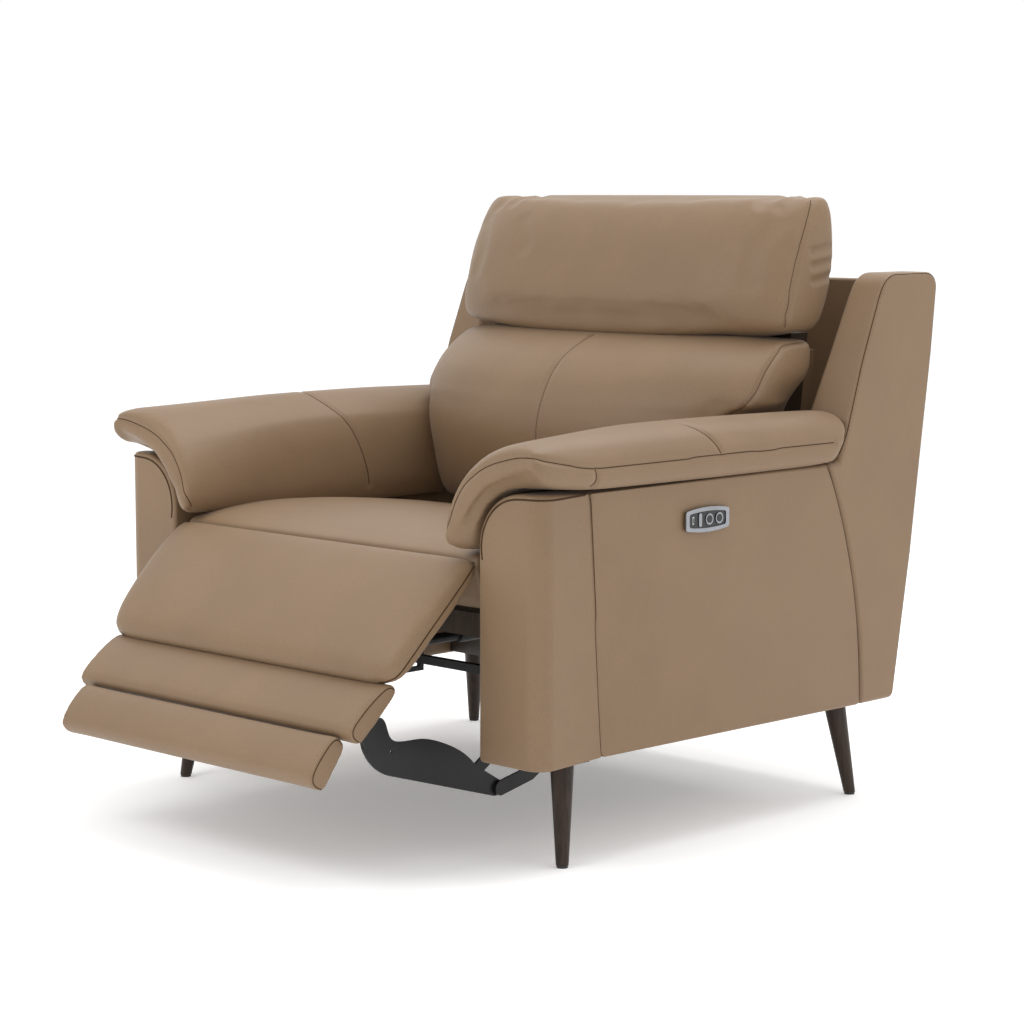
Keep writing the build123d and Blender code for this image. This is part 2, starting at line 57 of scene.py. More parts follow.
# ---- the room ------------------------------------------------------------------------------------
# A studio: pale seamless floor, white surroundings and four large soft lamps.  The camera stands
# low in front of the chair's right corner with a long lens, as furniture is usually taken.
def place(x, y, z):
    """A point of the chair's drawing, in millimetres from the middle of its feet, as metres here."""
    return Vector((x / 1000, (y + 97.85) / 1000, z / 1000))


def aim(obj, direction):
    obj.rotation_mode = "QUATERNION"
    obj.rotation_quaternion = direction.to_track_quat("-Z", "Y")


eye = bpy.data.cameras.new("eye")
eye.sensor_width = 36
eye.lens = 94.43
camera = bpy.data.objects.new("eye", eye)
scene.collection.objects.link(camera)
camera.location = (3.246, -3.18415, 1.0316)
turn, rise = math.radians(44.7), math.radians(6.8)
aim(camera, -Vector((math.sin(turn) * math.cos(rise), -math.cos(turn) * math.cos(rise), math.sin(rise))))
scene.camera = camera
scene.view_settings.view_transform = "Standard"

surroundings = bpy.data.worlds.new("surroundings")
surroundings.use_nodes = True
surroundings.node_tree.nodes["Background"].inputs["Color"].default_value = (1, 1, 1, 1)
sky_tree = surroundings.node_tree
sky_way = sky_tree.nodes.new("ShaderNodeTexCoord")
sky_split = sky_tree.nodes.new("ShaderNodeSeparateXYZ")
sky_level = sky_tree.nodes.new("ShaderNodeMapRange")
sky_level.inputs["From Min"].default_value = -0.8
sky_level.inputs["From Max"].default_value = 0.1
sky_level.inputs["To Min"].default_value = 0.76
sky_level.inputs["To Max"].default_value = 1.0
sky_tree.links.new(sky_way.outputs["Generated"], sky_split.inputs["Vector"])
sky_tree.links.new(sky_split.outputs["Y"], sky_level.inputs["Value"])
sky_tree.links.new(sky_level.outputs["Result"], sky_tree.nodes["Background"].inputs["Strength"])
scene.world = surroundings

for name, spot, size, power, at in (("lamp_over", (0.3, 1.1, 3.4), 2.6, 54, (0, 0, 0.45)),
                                    ("lamp_foot", (-0.4, -2.0, 2.0), 1.0, 16, (0, -0.65, 0.2)),
                                    ("lamp_side", (3.8, 0.6, 1.8), 2.0, 8, (0, 0, 0.45)),
                                    ("lamp_far", (-3.0, 0.2, 2.6), 2.0, 5, (0, 0, 0.45))):
    lamp = bpy.data.lights.new(name, "AREA")
    lamp.size = size
    lamp.energy = power
    lamp_object = bpy.data.objects.new(name, lamp)
    scene.collection.objects.link(lamp_object)
    lamp_object.location = spot
    aim(lamp_object, Vector(at) - Vector(spot))


def new_material(name, colour=(0.5, 0.5, 0.5), roughness=0.5, metallic=0.0):
    material = bpy.data.materials.new(name)
    material.use_nodes = True
    surface = material.node_tree.nodes["Principled BSDF"]
    surface.inputs["Base Color"].default_value = (*colour, 1)
    surface.inputs["Roughness"].default_value = roughness
    surface.inputs["Metallic"].default_value = metallic
    return material, material.node_tree, surface


def new_group(name, takes, gives):
    """An empty shader group with its inputs and outputs."""
    group = bpy.data.node_groups.new(name, "ShaderNodeTree")
    for label, kind, value in takes:
        socket = group.interface.new_socket(label, in_out="INPUT", socket_type=kind)
        socket.default_value = value
    for label, kind in gives:
        group.interface.new_socket(label, in_out="OUTPUT", socket_type=kind)
    return group, group.nodes.new("NodeGroupInput"), group.nodes.new("NodeGroupOutput")


def add_node(tree, kind, **values):
    """A node with its settings and plain input values."""
    node = tree.nodes.new(kind)
    for key, value in values.items():
        if hasattr(node, key):
            setattr(node, key, value)
        else:
            node.inputs[key.replace("_", " ")].default_value = value
    return node


def use_group(tree, surface, group, **values):
    """Place a group in a material and join its outputs to the shader's sockets of the same name."""
    node = tree.nodes.new("ShaderNodeGroup")
    node.node_tree = group
    for key, value in values.items():
        node.inputs[key.replace("_", " ")].default_value = value
    for output in node.outputs:
        socket = "Base Color" if output.name == "Colour" else output.name
        tree.links.new(output, surface.inputs[socket])
    return node


def finish_node(name, material):
    """Give a part from the drawing its finish."""
    slots = nodes[name].data.materials
    slots.clear()
    slots.append(material)


floor_mesh = bmesh.new()
bmesh.ops.create_grid(floor_mesh, x_segments=2, y_segments=2, size=30)
floor_data = bpy.data.meshes.new("floor")
floor_mesh.to_mesh(floor_data)
floor_mesh.free()
floor = bpy.data.objects.new("floor", floor_data)
scene.collection.objects.link(floor)
floor_paint, _, floor_surface = new_material("floor_paint", (0.92, 0.92, 0.92), 0.9)
floor_surface.inputs["Specular IOR Level"].default_value = 0.1
floor_surface.inputs["Emission Color"].default_value = (1, 1, 1, 1)
floor_surface.inputs["Emission Strength"].default_value = 0.24
floor_data.materials.append(floor_paint)


# ---- legs, leg plates and floor glides -----------------------------------------------------------
# Four turned beech legs stained dark walnut, splayed and screwed to black steel plates, with a
# nylon glide under each.  The grain runs up the leg under a satin lacquer.
wood_figure, figure_in, figure_out = new_group(
    "wood_figure",
    [("Light", "NodeSocketColor", (0.3, 0.2, 0.1, 1)), ("Dark", "NodeSocketColor", (0.1, 0.06, 0.03, 1)),
     ("Grain size", "NodeSocketFloat", 1.0)],
    [("Colour", "NodeSocketColor"), ("Roughness", "NodeSocketFloat"), ("Normal", "NodeSocketVector")])
t = wood_figure
where = add_node(t, "ShaderNodeTexCoord")
stretch = add_node(t, "ShaderNodeVectorMath", operation="MULTIPLY")
stretch.inputs[1].default_value = (1.0, 1.0, 0.07)
t.links.new(where.outputs["Object"], stretch.inputs[0])
sized = add_node(t, "ShaderNodeVectorMath", operation="SCALE")
t.links.new(stretch.outputs[0], sized.inputs[0])
t.links.new(figure_in.outputs["Grain size"], sized.inputs["Scale"])
rings = add_node(t, "ShaderNodeTexNoise", Scale=150.0, Detail=5.0, Roughness=0.62, Distortion=0.8)
pores = add_node(t, "ShaderNodeTexNoise", Scale=900.0, Detail=2.0)
for texture in (rings, pores):
    t.links.new(sized.outputs[0], texture.inputs["Vector"])
band = add_node(t, "ShaderNodeMapRange")
band.inputs["From Min"].default_value = 0.35
band.inputs["From Max"].default_value = 0.68
t.links.new(rings.outputs["Fac"], band.inputs["Value"])
tone = add_node(t, "ShaderNodeMix", data_type="RGBA")
t.links.new(band.outputs["Result"], tone.inputs[0])
t.links.new(figure_in.outputs["Dark"], tone.inputs[6])
t.links.new(figure_in.outputs["Light"], tone.inputs[7])
polish = add_node(t, "ShaderNodeMapRange")
polish.inputs["To Min"].default_value = 0.34
polish.inputs["To Max"].default_value = 0.5
t.links.new(pores.outputs["Fac"], polish.inputs["Value"])
relief = add_node(t, "ShaderNodeBump", Strength=0.25, Distance=0.0004)
t.links.new(pores.outputs["Fac"], relief.inputs["Height"])
t.links.new(tone.outputs[2], figure_out.inputs["Colour"])
t.links.new(polish.outputs["Result"], figure_out.inputs["Roughness"])
t.links.new(relief.outputs["Normal"], figure_out.inputs["Normal"])

walnut, walnut_tree, walnut_surface = new_material("walnut")
use_group(walnut_tree, walnut_surface, wood_figure, Light=(0.044, 0.024, 0.014, 1),
          Dark=(0.014, 0.008, 0.005, 1))
walnut_surface.inputs["Specular IOR Level"].default_value = 0.3
for corner in ("front_left", "front_right", "rear_left", "rear_right"):
    finish_node(f"{corner}_leg", walnut)

coat_texture, coat_in, coat_out = new_group(
    "powder_coat",
    [("Tint", "NodeSocketColor", (0.02, 0.02, 0.02, 1)), ("Shine", "NodeSocketFloat", 0.4)],
    [("Colour", "NodeSocketColor"), ("Roughness", "NodeSocketFloat"), ("Normal", "NodeSocketVector")])
t = coat_texture
where = add_node(t, "ShaderNodeTexCoord")
orange_peel = add_node(t, "ShaderNodeTexNoise", Scale=1400.0, Detail=2.0)
dust = add_node(t, "ShaderNodeTexNoise", Scale=34.0, Detail=5.0, Roughness=0.65)
for texture in (orange_peel, dust):
    t.links.new(where.outputs["Object"], texture.inputs["Vector"])
faded = add_node(t, "ShaderNodeMapRange")
faded.inputs["To Min"].default_value = 0.75
faded.inputs["To Max"].default_value = 1.35
t.links.new(dust.outputs["Fac"], faded.inputs["Value"])
shade = add_node(t, "ShaderNodeVectorMath", operation="SCALE")
t.links.new(coat_in.outputs["Tint"], shade.inputs[0])
t.links.new(faded.outputs["Result"], shade.inputs["Scale"])
uneven = add_node(t, "ShaderNodeMath", operation="MULTIPLY_ADD")
uneven.inputs[1].default_value = 0.22
t.links.new(dust.outputs["Fac"], uneven.inputs[0])
t.links.new(coat_in.outputs["Shine"], uneven.inputs[2])
relief = add_node(t, "ShaderNodeBump", Strength=0.3, Distance=0.0003)
t.links.new(orange_peel.outputs["Fac"], relief.inputs["Height"])
t.links.new(shade.outputs[0], coat_out.inputs["Colour"])
t.links.new(uneven.outputs[0], coat_out.inputs["Roughness"])
t.links.new(relief.outputs["Normal"], coat_out.inputs["Normal"])

black_steel, black_tree, black_surface = new_material("black_steel")
black_surface.inputs["Specular IOR Level"].default_value = 0.3
use_group(black_tree, black_surface, coat_texture, Tint=(0.013, 0.013, 0.014, 1), Shine=0.3)
finish_node("leg_plates", black_steel)

nylon, nylon_tree, nylon_surface = new_material("black_nylon")
use_group(nylon_tree, nylon_surface, coat_texture, Tint=(0.02, 0.02, 0.02, 1), Shine=0.45)
finish_node("floor_glides", nylon)


# ---- arm boxes -----------------------------------------------------------------------------------
# Hardwood and board boxes padded with thin foam and covered in corrected grain leather.  The side
# is one panel from the rear seam to an upright seam near the front, where the front panel wraps
# round the corner; both seams are turned in and stitched once more beside the join.
leather_skin, skin_in, skin_out = new_group(
    "leather_skin",
    [("Hide", "NodeSocketColor", (0.3, 0.2, 0.12, 1))],
    [("Colour", "NodeSocketColor"), ("Roughness", "NodeSocketFloat"), ("Normal", "NodeSocketVector")])
t = leather_skin
where = add_node(t, "ShaderNodeTexCoord")
cloud = add_node(t, "ShaderNodeTexNoise", Scale=6.0, Detail=4.0, Roughness=0.55)
speck = add_node(t, "ShaderNodeTexNoise", Scale=320.0, Detail=3.0, Roughness=0.6)
cells = add_node(t, "ShaderNodeTexVoronoi", feature="SMOOTH_F1", Scale=620.0)
slack = add_node(t, "ShaderNodeTexNoise", Scale=8.0, Detail=2.0, Distortion=0.7)
for texture in (cloud, speck, cells, slack):
    t.links.new(where.outputs["Object"], texture.inputs["Vector"])
cloud_tone = add_node(t, "ShaderNodeMapRange")
cloud_tone.inputs["From Min"].default_value = 0.3
cloud_tone.inputs["From Max"].default_value = 0.7
cloud_tone.inputs["To Min"].default_value = 0.95
cloud_tone.inputs["To Max"].default_value = 1.05
t.links.new(cloud.outputs["Fac"], cloud_tone.inputs["Value"])
speck_tone = add_node(t, "ShaderNodeMapRange")
speck_tone.inputs["From Min"].default_value = 0.3
speck_tone.inputs["From Max"].default_value = 0.7
speck_tone.inputs["To Min"].default_value = 0.95
speck_tone.inputs["To Max"].default_value = 1.05
t.links.new(speck.outputs["Fac"], speck_tone.inputs["Value"])
both_tones = add_node(t, "ShaderNodeMath", operation="MULTIPLY")
t.links.new(cloud_tone.outputs["Result"], both_tones.inputs[0])
t.links.new(speck_tone.outputs["Result"], both_tones.inputs[1])
dyed = add_node(t, "ShaderNodeVectorMath", operation="SCALE")
t.links.new(skin_in.outputs["Hide"], dyed.inputs[0])
t.links.new(both_tones.outputs[0], dyed.inputs["Scale"])
gloss = add_node(t, "ShaderNodeMapRange")
gloss.inputs["To Min"].default_value = 0.44
gloss.inputs["To Max"].default_value = 0.58
t.links.new(speck.outputs["Fac"], gloss.inputs["Value"])
pebble = add_node(t, "ShaderNodeBump", Strength=0.3, Distance=0.0005)
t.links.new(cells.outputs["Distance"], pebble.inputs["Height"])
drape = add_node(t, "ShaderNodeBump", Strength=0.16, Distance=0.012)
t.links.new(slack.outputs["Fac"], drape.inputs["Height"])
t.links.new(pebble.outputs["Normal"], drape.inputs["Normal"])
t.links.new(dyed.outputs[0], skin_out.inputs["Colour"])
t.links.new(gloss.outputs["Result"], skin_out.inputs["Roughness"])
t.links.new(drape.outputs["Normal"], skin_out.inputs["Normal"])

leather, leather_tree, leather_surface = new_material("leather")
use_group(leather_tree, leather_surface, leather_skin, Hide=(0.213, 0.1355, 0.0742, 1))
leather_surface.inputs["Specular IOR Level"].default_value = 0.42
leather_surface.inputs["Sheen Weight"].default_value = 0.08
leather_surface.inputs["Sheen Roughness"].default_value = 0.4

# Dark brown leather for the tube drawn in every seam and piping line: the real line where two panels meet,
# made darker as painted shade standing in for the shadow in the seam.
seam_line_and_shade, seam_line_shade_tree, seam_line_shade_surface = new_material("leather_seam_line_and_shade")
use_group(seam_line_shade_tree, seam_line_shade_surface, leather_skin, Hide=(0.062, 0.035, 0.018, 1))
seam_line_shade_surface.inputs["Specular IOR Level"].default_value = 0.05
thread, thread_tree, thread_surface = new_material("sewing_thread")
use_group(thread_tree, thread_surface, leather_skin, Hide=(0.275, 0.182, 0.108, 1))


def new_piece(name, mesh_builder, *materials):
    """Turn a bmesh into a smooth shaded piece."""
    data = bpy.data.meshes.new(name)
    mesh_builder.to_mesh(data)
    mesh_builder.free()
    for material in materials:
        data.materials.append(material)
    data.polygons.foreach_set("use_smooth", [True] * len(data.polygons))
    obj = bpy.data.objects.new(name, data)
    scene.collection.objects.link(obj)
    return obj


def solid_of(node):
    """The outer shell of a drawn board box, with its flat faces made whole again."""
    shell = bmesh.new()
    shell.from_mesh(nodes[node].data)
    bmesh.ops.remove_doubles(shell, verts=shell.verts, dist=1e-5)
    start = max(shell.verts, key=lambda v: (round(abs(v.co.x), 4), v.co.z))
    outer, queue = {start}, [start]
    while queue:
        for edge in queue.pop().link_edges:
            for vert in edge.verts:
                if vert not in outer:
                    outer.add(vert)
                    queue.append(vert)
    bmesh.ops.delete(shell, geom=[v for v in shell.verts if v not in outer], context="VERTS")
    bmesh.ops.dissolve_limit(shell, angle_limit=math.radians(1.5), verts=shell.verts, edges=shell.edges)
    return shell


def soften(shell, offset, fold=35):
    """Round every edge that turns by more than a fold, as foam under leather does."""
    sharp = [e for e in shell.edges if len(e.link_faces) == 2
             and e.calc_face_angle(0) > math.radians(fold)]
    bmesh.ops.bevel(shell, geom=sharp, offset=offset, offset_type="OFFSET", segments=4, profile=0.5,
                    affect="EDGES", material=-1, clamp_overlap=True)


def groove(shell, point, across, width=0.0045, depth=0.0016, where=lambda co: True):
    """Cut three close lines round the shell and pull the middle one in, for a turned-in seam."""
    normal = across.normalized()
    for shift in (-width, width, 0.0):
        geom = list(shell.verts) + list(shell.edges) + list(shell.faces)
        cut = bmesh.ops.bisect_plane(shell, geom=geom, dist=1e-5, plane_co=point + normal * shift,
                                     plane_no=normal)
    shell.normal_update()
    middle = [v for v in cut["geom_cut"] if isinstance(v, bmesh.types.BMVert) and where(v.co)]
    for vert, way in [(v, v.normal.copy()) for v in middle]:
        vert.co -= way * depth


def even_normals(obj):
    weighting = obj.modifiers.new("even_normals", "WEIGHTED_NORMAL")
    weighting.weight = 80


def smooth_line(points, step=0.0025):
    """Evenly spaced points on a smooth line through a few guide points."""
    ends = [points[0] * 2 - points[1]] + list(points) + [points[-1] * 2 - points[-2]]
    dense = []
    for a, b, c, d in zip(ends, ends[1:], ends[2:], ends[3:]):
        count = max(2, int((c - b).length / step))
        for i in range(count):
            s = i / count
            dense.append(0.5 * (2 * b + (c - a) * s + (2 * a - 5 * b + 4 * c - d) * s * s
                                + (3 * b - a - 3 * c + d) * s ** 3))
    dense.append(points[-1])
    return dense


def skin_of(obj):
    surface = bmesh.new()
    surface.from_mesh(obj.data)
    tree = BVHTree.FromBMesh(surface)
    surface.free()
    return tree


def trace(tree, points):
    """A seam's line dropped on a cover: points with the cover's normal at each."""
    spots = [tree.find_nearest(point)[0] for point in smooth_line(points)]
    for _ in range(14):
        spots = [spots[0]] + [(a + b * 2 + c) / 4 for a, b, c in zip(spots, spots[1:], spots[2:])] \
            + [spots[-1]]
    return [tree.find_nearest(spot)[:2] for spot in spots]


def sew(name, cover, seams, rows=(0.005,), welt=0.0007, pitch=0.0062):
    """The line where two panels meet, a dark tube that is partly painted seam shade, and the rows of stitches
    beside it, all on one piece.
    """
    tree = skin_of(cover)
    line = bpy.data.curves.new(name, "CURVE")
    line.dimensions = "3D"
    line.bevel_depth = welt
    line.bevel_resolution = 1
    stitches = []
    for points in seams:
        trail = trace(tree, points)
        spline = line.splines.new("POLY")
        spline.points.add(len(trail) - 1)
        for dot, (spot, normal) in zip(spline.points, trail):
            dot.co = (*(spot - normal * 0.0002), 1)
        for row in rows:
            beside = []
            for (a, na), (b, _) in zip(trail, trail[1:]):
                run = b - a
                if run.length > 1e-6:
                    spot, normal, _, _ = tree.find_nearest(a + na.cross(run.normalized()) * row)
                    beside.append((spot, normal))
            run_length, last = pitch, None
            for spot, normal in beside:
                if last is not None:
                    run_length += (spot - last).length
                if last is not None and run_length >= pitch:
                    run_length = 0.0
                    stitches.append((spot, normal, spot - last))
                last = spot
    drawn = bpy.data.objects.new(name + "_line", line)
    scene.collection.objects.link(drawn)
    bpy.context.view_layer.update()
    whole = bmesh.new()
    tube = bpy.data.meshes.new_from_object(drawn.evaluated_get(bpy.context.evaluated_depsgraph_get()))
    whole.from_mesh(tube)
    bpy.data.objects.remove(drawn)
    for face in whole.faces:
        face.material_index = 0
    for start in range(0, len(stitches), 60):
        few = bmesh.new()
        for spot, normal, run in stitches[start:start + 60]:
            if run.length < 1e-7:
                continue
            along = run.normalized()
            side = normal.cross(along).normalized()
            up = along.cross(side)
            turn_to = Matrix((along, side, up)).transposed().to_4x4()
            size = Matrix.Diagonal((0.0021, 0.00045, 0.00040, 1))
            bmesh.ops.create_icosphere(few, subdivisions=1, radius=1,
                                       matrix=Matrix.Translation(spot) @ turn_to @ size)
        for face in few.faces:
            face.material_index = 1
        holder = bpy.data.meshes.new("few")
        few.to_mesh(holder)
        few.free()
        whole.from_mesh(holder)
        bpy.data.meshes.remove(holder)
    return new_piece(name, whole, seam_line_and_shade, thread)


def mirrored(obj, name):
    """The same piece for the other side of the chair."""
    other = bmesh.new()
    other.from_mesh(obj.data)
    bmesh.ops.scale(other, vec=(-1, 1, 1), verts=other.verts)
    bmesh.ops.reverse_faces(other, faces=other.faces)
    twin = new_piece(name, other, *obj.data.materials)
    for modifier in obj.modifiers:
        if modifier.type == "WEIGHTED_NORMAL":
            even_normals(twin)
    return twin


arm_shell = solid_of("right_arm_box")
front_seam = [place(500, -334, 583), place(500, -305, 164)]
groove(arm_shell, place(500, -319.5, 373.5), Vector((0, 419, 29)), where=lambda co: co.x > 0.47)
soften(arm_shell, 0.007)
right_arm = new_piece("right_arm_cover", arm_shell, leather)
even_normals(right_arm)
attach(right_arm, "base")
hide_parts("right_arm_box")
left_arm = mirrored(right_arm, "left_arm_cover")
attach(left_arm, "base")
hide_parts("left_arm_box")

arm_lines = sew("right_arm_seams", right_arm,
                [[place(501, -334, 580), place(501, -322, 410), place(501, -312, 260), place(501, -305, 168)],
                 [place(500, 236, 580), place(500, 278, 500), place(500, 312, 385),
                  place(500, 329, 260), place(500, 334, 170)]], rows=(-0.005, 0.005), welt=0.0009)
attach(arm_lines, "base")
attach(mirrored(arm_lines, "left_arm_seams"), "base")
shoulder = [place(455 - 79 * math.cos(math.radians(a)), -449, 497 + 79 * math.sin(math.radians(a)))
            for a in (-14, 0, 18, 36, 54, 72, 90)]
arm_piping = sew("right_arm_piping", right_arm,
                 [shoulder + [place(478, -449, 577), place(494, -443, 577), place(501, -420, 576),
                              place(501, -380, 577), place(501, -345, 579)]], rows=(), welt=0.0016)
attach(arm_piping, "base")
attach(mirrored(arm_piping, "left_arm_piping"), "base")

timber, timber_tree, timber_surface = new_material("frame_timber")
use_group(timber_tree, timber_surface, wood_figure, Light=(0.46, 0.31, 0.17, 1), Dark=(0.33, 0.21, 0.11, 1))
for name in ("left_arm_frame", "right_arm_frame"):
    finish_node(name, timber)


# ---- wings and outer back ------------------------------------------------------------------------
# The wings carry the outer back past the cushions.  Each is a padded board with a front and top
# band joined to the side panel by a seam stitched on both sides; a flat panel closes the rear.
wing_shell = solid_of("right_wing")
inner_face = min(v.co.x for v in wing_shell.verts)
for vert in wing_shell.verts:
    if vert.co.x < inner_face + 0.003:
        vert.co.x -= 0.009
soften(wing_shell, 0.009)
right_wing = new_piece("right_wing_cover", wing_shell, leather)
even_normals(right_wing)
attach(right_wing, "base")
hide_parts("right_wing")
left_wing = mirrored(right_wing, "left_wing_cover")
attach(left_wing, "base")
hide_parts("left_wing")

wing_lines = sew("right_wing_seams", right_wing,
                 [[place(499, 269, 600), place(499, 291, 636), place(499, 329, 749), place(499, 366, 842),
                   place(499, 376, 864), place(499, 390, 882), place(499, 409, 892), place(499, 440, 895),
                   place(499, 500, 895), place(499, 525, 887), place(499, 535, 866), place(499, 522, 745), place(499, 501, 587),
                   place(499, 475, 415), place(499, 444, 245), place(499, 431, 170)]],
                 rows=(-0.005, 0.005), welt=0.0009)
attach(wing_lines, "base")
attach(mirrored(wing_lines, "left_wing_seams"), "base")

back_shell = solid_of("outer_back")
soften(back_shell, 0.005)
rear_panel = new_piece("outer_back_cover", back_shell, leather)
even_normals(rear_panel)
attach(rear_panel, "base")
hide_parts("outer_back")


# ---- arm pads ------------------------------------------------------------------------------------
# Long bolsters of foam and fibre over each arm.  The top leather rolls from a flat outer band over
# the crown and down to the seat; at the front a shaped fascia closes the roll.
def blend_rings(a, b, share):
    return [tuple(p + (q - p) * s for p, q in zip(u, v)) for u, v, s in zip(a, b, share)]


def loft(rings):
    """A closed skin through rings of points, made by pulling the first ring from place to place."""
    skin = bmesh.new()
    ring = [skin.verts.new(p) for p in rings[0]]
    edges = [skin.edges.new((a, b)) for a, b in zip(ring, ring[1:] + ring[:1])]
    skin.faces.new(ring)
    for target in rings[1:]:
        order = {v.co.to_tuple(7): i for i, v in enumerate(ring)}
        pulled = bmesh.ops.extrude_edge_only(skin, edges=edges)["geom"]
        fresh = sorted([g for g in pulled if isinstance(g, bmesh.types.BMVert)],
                       key=lambda v: order[v.co.to_tuple(7)])
        edges = [g for g in pulled if isinstance(g, bmesh.types.BMEdge)]
        for vert, spot in zip(fresh, target):
            vert.co = spot
        ring = fresh
    skin.faces.new(ring)
    bmesh.ops.recalc_face_normals(skin, faces=skin.faces)
    return skin


def settle(obj, *modifiers):
    """Make the result of some modifiers the piece's own mesh."""
    for kind, values in modifiers:
        modifier = obj.modifiers.new(kind.lower(), kind)
        for key, value in values.items():
            setattr(modifier, key, value)
    bpy.context.view_layer.update()
    made = bpy.data.meshes.new_from_object(obj.evaluated_get(bpy.context.evaluated_depsgraph_get()))
    obj.modifiers.clear()
    obj.data = made
    made.polygons.foreach_set("use_smooth", [True] * len(made.polygons))
    return obj


def plump(obj, free, voxel=0.006, pressure=4.0, cap=0.014, relax=3, even=6):
    """Fill a cover: cloth blown up from inside, held where it rests on something, then relaxed."""
    settle(obj, ("SUBSURF", {"levels": 2, "render_levels": 2}),
           ("REMESH", {"mode": "VOXEL", "voxel_size": voxel, "use_smooth_shade": True}))
    rest = [v.co.copy() for v in obj.data.vertices]
    cloth = obj.modifiers.new("cloth", "CLOTH")
    cloth.settings.use_pressure = True
    cloth.settings.uniform_pressure_force = pressure
    cloth.settings.effector_weights.gravity = 0
    cloth.settings.quality = 4
    cloth.settings.mass = 0.3
    cloth.settings.tension_stiffness = 18
    cloth.settings.compression_stiffness = 18
    cloth.settings.bending_stiffness = 1.2
    cloth.point_cache.frame_start = 1
    cloth.point_cache.frame_end = 20
    for step in range(1, 21):
        scene.frame_set(step)
    blown = obj.evaluated_get(bpy.context.evaluated_depsgraph_get()).to_mesh()
    moved = [v.co.copy() for v in blown.vertices]
    obj.modifiers.clear()
    scene.frame_set(1)
    shifts = np.array([b - a for a, b in zip(rest, moved)])
    ends = np.array([e.vertices[:] for e in obj.data.edges])
    count = np.bincount(ends.ravel(), minlength=len(rest))[:, None]
    for _ in range(even):
        near = np.zeros_like(shifts)
        np.add.at(near, ends[:, 0], shifts[ends[:, 1]])
        np.add.at(near, ends[:, 1], shifts[ends[:, 0]])
        shifts = near / count
    reach = np.linalg.norm(shifts, axis=1, keepdims=True)
    shifts *= np.minimum(1.0, cap / np.maximum(reach, 1e-9))
    for vert, a, shift in zip(obj.data.vertices, rest, shifts):
        vert.co = a + Vector(shift) * free(a)
    easing = bmesh.new()
    easing.from_mesh(obj.data)
    for _ in range(relax):
        bmesh.ops.smooth_vert(easing, verts=easing.verts, factor=0.5, use_axis_x=True, use_axis_y=True,
                              use_axis_z=True)
    easing.to_mesh(obj.data)
    easing.free()
    return settle(obj, ("SUBSURF", {"levels": 1, "render_levels": 1}))


def press(obj, lines, reach=0.008, depth=0.002, drop=True):
    """Pull a cover in along some lines, as a seam or a crease does."""
    tree = skin_of(obj)
    spots = [spot for points in lines for spot, _ in trace(tree, points)] if drop else \
        [spot for points in lines for spot in smooth_line(points)]
    finder = KDTree(len(spots))
    for i, spot in enumerate(spots):
        finder.insert(spot, i)
    finder.balance()
    lo = [min(s[i] for s in spots) - reach for i in range(3)]
    hi = [max(s[i] for s in spots) + reach for i in range(3)]
    moves = []
    for vert in obj.data.vertices:
        co = vert.co
        if all(lo[i] <= co[i] <= hi[i] for i in range(3)):
            far = finder.find(co)[2]
            if far < reach:
                moves.append((vert.index, vert.normal * (-depth * (1 - (far / reach) ** 2) ** 2)))
    for index, move in moves:
        obj.data.vertices[index].co += move


pad_body = [(512, 583), (517, 600), (517, 620), (509, 642), (490, 657), (462, 666), (430, 669), (400, 663),
            (374, 643), (356, 607), (348, 560), (346, 515), (351, 480), (359, 469),
            (365, 480), (364, 500), (370, 532), (387, 560), (413, 579), (455, 588), (485, 587), (502, 585)]
pad_front = [(514, 597), (519, 612), (519, 634), (510, 648), (488, 656), (460, 656), (425, 649), (388, 633),
             (353, 607), (331, 575), (319, 545), (313, 515), (315, 494), (325, 487),
             (345, 487), (362, 502), (368, 534), (382, 562), (407, 581), (445, 594), (482, 598), (503, 598)]
pad_tip = [(509, 628), (513, 633), (511, 640), (502, 644), (485, 644), (462, 642), (430, 635), (399, 625),
           (364, 604), (340, 577), (326, 549), (317, 522), (313, 505), (317, 499),
           (323, 504), (326, 521), (334, 545), (350, 573), (373, 597), (405, 616), (448, 630), (488, 633)]
band_points = {0, 1, 2, 3, 18, 19, 20, 21}


def pad_ring(y, ring, slant=0.0):
    return [place(x, y + slant * (z - 583), z) for x, z in ring]


pad_rings = [pad_ring(-475, pad_tip),
             pad_ring(-468, blend_rings(pad_tip, pad_front, [0.5] * 22)),
             pad_ring(-450, pad_front)]
for y in (-425, -395, -343, -280, -200, -100, 0, 100, 190):
    outer = min(1.0, (y + 448) / 105)
    inner = min(1.0, (y + 448) / 260)
    shares = [outer if i in band_points else inner ** 0.8 for i in range(22)]
    pad_rings.append(pad_ring(y, blend_rings(pad_front, pad_body, shares)))
pad_rings.append(pad_ring(232, pad_body, 0.5))
pad_rings.append(pad_ring(240, [(x + (430 - x) * 0.02, z + (620 - z) * 0.03) for x, z in pad_body], 0.72))
pad_rings.append(pad_ring(246, [(x + (430 - x) * 0.08, z + (620 - z) * 0.12) for x, z in pad_body], 0.72))

right_pad = new_piece("right_arm_pad_cover", loft(pad_rings), leather)


def pad_free(co):
    """The crown and the inner side may swell; the underside and the band are held."""
    x, z = co.x * 1000, co.z * 1000
    if z < 640 and x > 500:
        return 0.12
    if math.hypot(x - 455, z - 497) < 96 and z > 490:
        return 0.0
    return 0.75 if z > 500 else max(0.0, (z - 478) / 22) * 0.75


